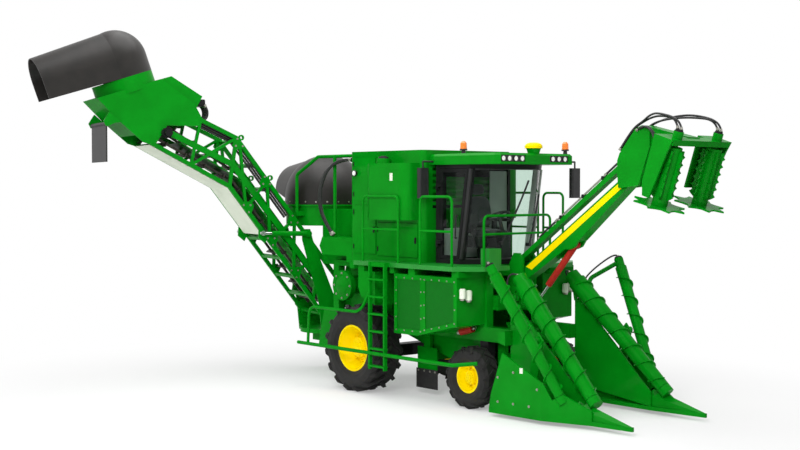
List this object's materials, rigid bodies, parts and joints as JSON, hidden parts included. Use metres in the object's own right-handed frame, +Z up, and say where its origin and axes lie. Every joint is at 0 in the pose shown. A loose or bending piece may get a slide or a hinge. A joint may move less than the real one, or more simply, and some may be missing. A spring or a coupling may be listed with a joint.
{
  "type": "sugarcane harvester",
  "caption": "Wheeled single-row sugar cane harvester with topper, scroll dividers, cab, extractor hoods and a slewing lattice elevator.",
  "frame": {"origin": "ground level under the middle of the bounding box at rest", "axes": "+X forward, +Y to the machine's left, +Z up"},
  "size_m": [10.0902, 6.7945, 6.0833],
  "materials": {
    "green_paint": "gloss green enamel",
    "yellow_paint": "gloss yellow enamel",
    "tyre": "black rubber",
    "glass": "clear, faint green tint",
    "dark_plastic": "grained dark grey",
    "rubber": "dull sheet",
    "steel": "worn steel",
    "chrome": "plated rod",
    "red_paint": "red enamel",
    "fabric": "dark cloth",
    "lamp": "clear lens"
  },
  "bodies": {
    "chassis": {"cab_frame": "dark_plastic", "cab_glass": "glass", "cab_roof": "green_paint", "chopper_box": "green_paint", "console": "dark_plastic", "driver_seat": "fabric", "engine_bay": "green_paint", "engine_block": "steel", "extractor_chamber": "green_paint", "feed_duct": "green_paint", "front_axle": "green_paint", "handrails": "green_paint", "main_frame": "green_paint", "mirrors": "dark_plastic", "rear_axle": "green_paint", "roof_fittings": "lamp", "side_bays": "green_paint", "side_tanks": "green_paint", "walkway": "green_paint", "wheel_guards": "green_paint"},
    "rear_wheel_right": {"rear_rim_right": "yellow_paint", "rear_tyre_right": "tyre"},
    "front_knuckle_right": {"front_knuckle_right": "green_paint"},
    "front_wheel_right": {"front_rim_right": "yellow_paint", "front_tyre_right": "tyre"},
    "rear_wheel_left": {"rear_rim_left": "yellow_paint", "rear_tyre_left": "tyre"},
    "front_knuckle_left": {"front_knuckle_left": "green_paint"},
    "front_wheel_left": {"front_rim_left": "yellow_paint", "front_tyre_left": "tyre"},
    "cab_door": {"cab_door": "dark_plastic", "cab_door_glass": "glass"},
    "topper_boom": {"topper_boom": "green_paint"},
    "topper_link": {"topper_link": "green_paint"},
    "topper_head": {"topper_head": "green_paint"},
    "topper_barrel": {"topper_barrel": "red_paint"},
    "topper_rod": {"topper_rod": "chrome"},
    "topper_drum_right": {"topper_drum_right": "green_paint"},
    "topper_drum_left": {"topper_drum_left": "green_paint"},
    "divider_right": {"divider_right": "green_paint"},
    "scroll_inner_right": {"scroll_inner_right": "green_paint"},
    "scroll_outer_right": {"scroll_outer_right": "green_paint"},
    "divider_left": {"divider_left": "green_paint"},
    "scroll_inner_left": {"scroll_inner_left": "green_paint"},
    "scroll_outer_left": {"scroll_outer_left": "green_paint"},
    "knockdown_roller": {"knockdown_roller": "green_paint"},
    "base_cutter_right": {"base_cutter_right": "steel"},
    "base_cutter_left": {"base_cutter_left": "steel"},
    "primary_hood": {"primary_hood": "dark_plastic"},
    "primary_fan": {"primary_fan": "green_paint"},
    "elevator_turntable": {"elevator_turntable": "green_paint"},
    "elevator": {"elevator_frame": "green_paint", "elevator_conveyor": "steel", "elevator_hoses": "rubber", "secondary_chamber": "green_paint"},
    "bin_flap": {"bin_flap": "rubber"},
    "secondary_hood": {"secondary_hood": "dark_plastic"},
    "secondary_fan": {"secondary_fan": "green_paint"},
    "elevator_barrels": {"elevator_barrels": "green_paint"},
    "elevator_rods": {"elevator_rods": "chrome"}
  },
  "joints": [
    {"name": "rear_wheel_right_spin", "type": "hinge", "parent": "chassis", "child": "rear_wheel_right", "pos_m": [-0.98335, 0.80903, 0.725], "axis": [0, 1, 0], "continuous": true},
    {"name": "front_knuckle_right_steer", "type": "hinge", "parent": "chassis", "child": "front_knuckle_right", "pos_m": [1.49165, 1.27903, 0.48], "axis": [0, 0, 1], "range_deg": [-28, 28]},
    {"name": "front_wheel_right_spin", "type": "hinge", "parent": "front_knuckle_right", "child": "front_wheel_right", "pos_m": [1.49165, 0.95903, 0.48], "axis": [0, 1, 0], "continuous": true},
    {"name": "rear_wheel_left_spin", "type": "hinge", "parent": "chassis", "child": "rear_wheel_left", "pos_m": [-0.98335, 2.94903, 0.725], "axis": [0, 1, 0], "continuous": true},
    {"name": "front_knuckle_left_steer", "type": "hinge", "parent": "chassis", "child": "front_knuckle_left", "pos_m": [1.49165, 2.47904, 0.48], "axis": [0, 0, 1], "range_deg": [-28, 28]},
    {"name": "front_wheel_left_spin", "type": "hinge", "parent": "front_knuckle_left", "child": "front_wheel_left", "pos_m": [1.49165, 2.79903, 0.48], "axis": [0, 1, 0], "continuous": true},
    {"name": "cab_door_swing", "type": "hinge", "parent": "chassis", "child": "cab_door", "pos_m": [0.58265, 1.04903, 2.9], "axis": [0, 0, -1], "range_deg": [0, 45]},
    {"name": "topper_lift", "type": "hinge", "parent": "chassis", "child": "topper_boom", "pos_m": [1.66665, 1.87904, 1.95], "axis": [0, -1, 0], "range_deg": [-40, 15]},
    {"name": "topper_link_swing", "type": "hinge", "parent": "chassis", "child": "topper_link", "pos_m": [1.67665, 1.87904, 2.28], "axis": [0, -1, 0], "range_deg": [-40, 15]},
    {"name": "topper_head_level", "type": "hinge", "parent": "topper_boom", "child": "topper_head", "pos_m": [3.76665, 1.87904, 3.46], "axis": [0, -1, 0], "range_deg": [-15, 40]},
    {"name": "topper_barrel_swing", "type": "hinge", "parent": "topper_boom", "child": "topper_barrel", "pos_m": [2.75665, 1.87904, 2.53], "axis": [0, -1, 0], "range_deg": [-0.2117, 0.5646]},
    {"name": "topper_rod_slide", "type": "slide", "parent": "topper_barrel", "child": "topper_rod", "axis": [-0.6546, 0, -0.7559], "range_m": [-0.31774, 0.11915]},
    {"name": "topper_drum_right_spin", "type": "hinge", "parent": "topper_head", "child": "topper_drum_right", "pos_m": [4.80116, 1.42904, 3.61553], "axis": [0.309, 0, 0.9511], "continuous": true},
    {"name": "topper_drum_left_spin", "type": "hinge", "parent": "topper_head", "child": "topper_drum_left", "pos_m": [4.80116, 2.32904, 3.61553], "axis": [0.309, 0, 0.9511], "continuous": true},
    {"name": "divider_right_lift", "type": "hinge", "parent": "chassis", "child": "divider_right", "pos_m": [2.07665, 1.07903, 1.13], "axis": [0, -1, 0], "range_deg": [0, 18]},
    {"name": "scroll_inner_right_spin", "type": "hinge", "parent": "divider_right", "child": "scroll_inner_right", "pos_m": [3.77665, 1.07903, 0.42], "axis": [-0.7087, 0.0932, 0.6993], "continuous": true},
    {"name": "scroll_outer_right_spin", "type": "hinge", "parent": "divider_right", "child": "scroll_outer_right", "pos_m": [3.39665, 0.81903, 0.44], "axis": [-0.48, -0.1838, 0.8578], "continuous": true},
    {"name": "divider_left_lift", "type": "hinge", "parent": "chassis", "child": "divider_left", "pos_m": [2.07665, 2.67903, 1.13], "axis": [0, -1, 0], "range_deg": [0, 18]},
    {"name": "scroll_inner_left_spin", "type": "hinge", "parent": "divider_left", "child": "scroll_inner_left", "pos_m": [3.77665, 2.67903, 0.42], "axis": [-0.7087, -0.0932, 0.6993], "continuous": true},
    {"name": "scroll_outer_left_spin", "type": "hinge", "parent": "divider_left", "child": "scroll_outer_left", "pos_m": [3.39665, 2.93904, 0.44], "axis": [-0.48, 0.1838, 0.8578], "continuous": true},
    {"name": "knockdown_spin", "type": "hinge", "parent": "chassis", "child": "knockdown_roller", "pos_m": [1.81665, 1.87904, 1.13], "axis": [0, 1, 0], "continuous": true},
    {"name": "base_cutter_right_spin", "type": "hinge", "parent": "chassis", "child": "base_cutter_right", "pos_m": [1.76665, 1.62904, 0.4], "axis": [0, 0, 1], "continuous": true},
    {"name": "base_cutter_left_spin", "type": "hinge", "parent": "chassis", "child": "base_cutter_left", "pos_m": [1.76665, 2.12904, 0.4], "axis": [0, 0, 1], "continuous": true},
    {"name": "primary_hood_turn", "type": "hinge", "parent": "chassis", "child": "primary_hood", "pos_m": [-3.35335, 1.87904, 3.08], "axis": [0, 0, 1], "range_deg": [-60, 60]},
    {"name": "primary_fan_spin", "type": "hinge", "parent": "chassis", "child": "primary_fan", "pos_m": [-3.35335, 1.87904, 2.9], "axis": [0, 0, 1], "continuous": true},
    {"name": "elevator_slew", "type": "hinge", "parent": "chassis", "child": "elevator_turntable", "pos_m": [-3.35335, 1.87904, 0.7], "axis": [0, 0, -1], "range_deg": [-9, 161]},
    {"name": "elevator_lift", "type": "hinge", "parent": "elevator_turntable", "child": "elevator", "pos_m": [-3.38964, 1.73349, 1.1], "axis": [-0.9703, 0.2419, 0], "range_deg": [-18, 0]},
    {"name": "bin_flap_swing", "type": "hinge", "parent": "elevator", "child": "bin_flap", "pos_m": [-4.3791, -2.23502, 4.46], "axis": [-0.9703, 0.2419, 0], "range_deg": [-30, 30]},
    {"name": "secondary_hood_turn", "type": "hinge", "parent": "elevator", "child": "secondary_hood", "pos_m": [-4.28475, -1.8566, 5.26], "axis": [-0.078, -0.3127, 0.9466], "range_deg": [-160, 160]},
    {"name": "secondary_fan_spin", "type": "hinge", "parent": "elevator", "child": "secondary_fan", "pos_m": [-4.28475, -1.8566, 5.26], "axis": [-0.078, -0.3127, 0.9466], "continuous": true},
    {"name": "elevator_barrels_swing", "type": "hinge", "parent": "elevator_turntable", "child": "elevator_barrels", "pos_m": [-3.50576, 1.26775, 2.56], "axis": [-0.9703, 0.2419, 0], "range_deg": [-23.04, 0]},
    {"name": "elevator_rods_slide", "type": "slide", "parent": "elevator_barrels", "child": "elevator_rods", "axis": [-0.2419, -0.97, 0.023], "range_m": [0, 0.47337]}
  ],
  "couplings": [
    {"joint": "front_knuckle_left_steer", "follows": "front_knuckle_right_steer", "ratio": 1},
    {"joint": "topper_link_swing", "follows": "topper_lift", "ratio": 1},
    {"joint": "topper_head_level", "follows": "topper_lift", "ratio": -1},
    {"joint": "topper_barrel_swing", "follows": "topper_lift", "ratio": -0.0141},
    {"joint": "topper_rod_slide", "follows": "topper_lift", "m_per_rad": 0.45467},
    {"joint": "base_cutter_left_spin", "follows": "base_cutter_right_spin", "ratio": -1},
    {"joint": "elevator_barrels_swing", "follows": "elevator_lift", "ratio": 1.2786},
    {"joint": "elevator_rods_slide", "follows": "elevator_lift", "m_per_rad": -1.5053}
  ]
}
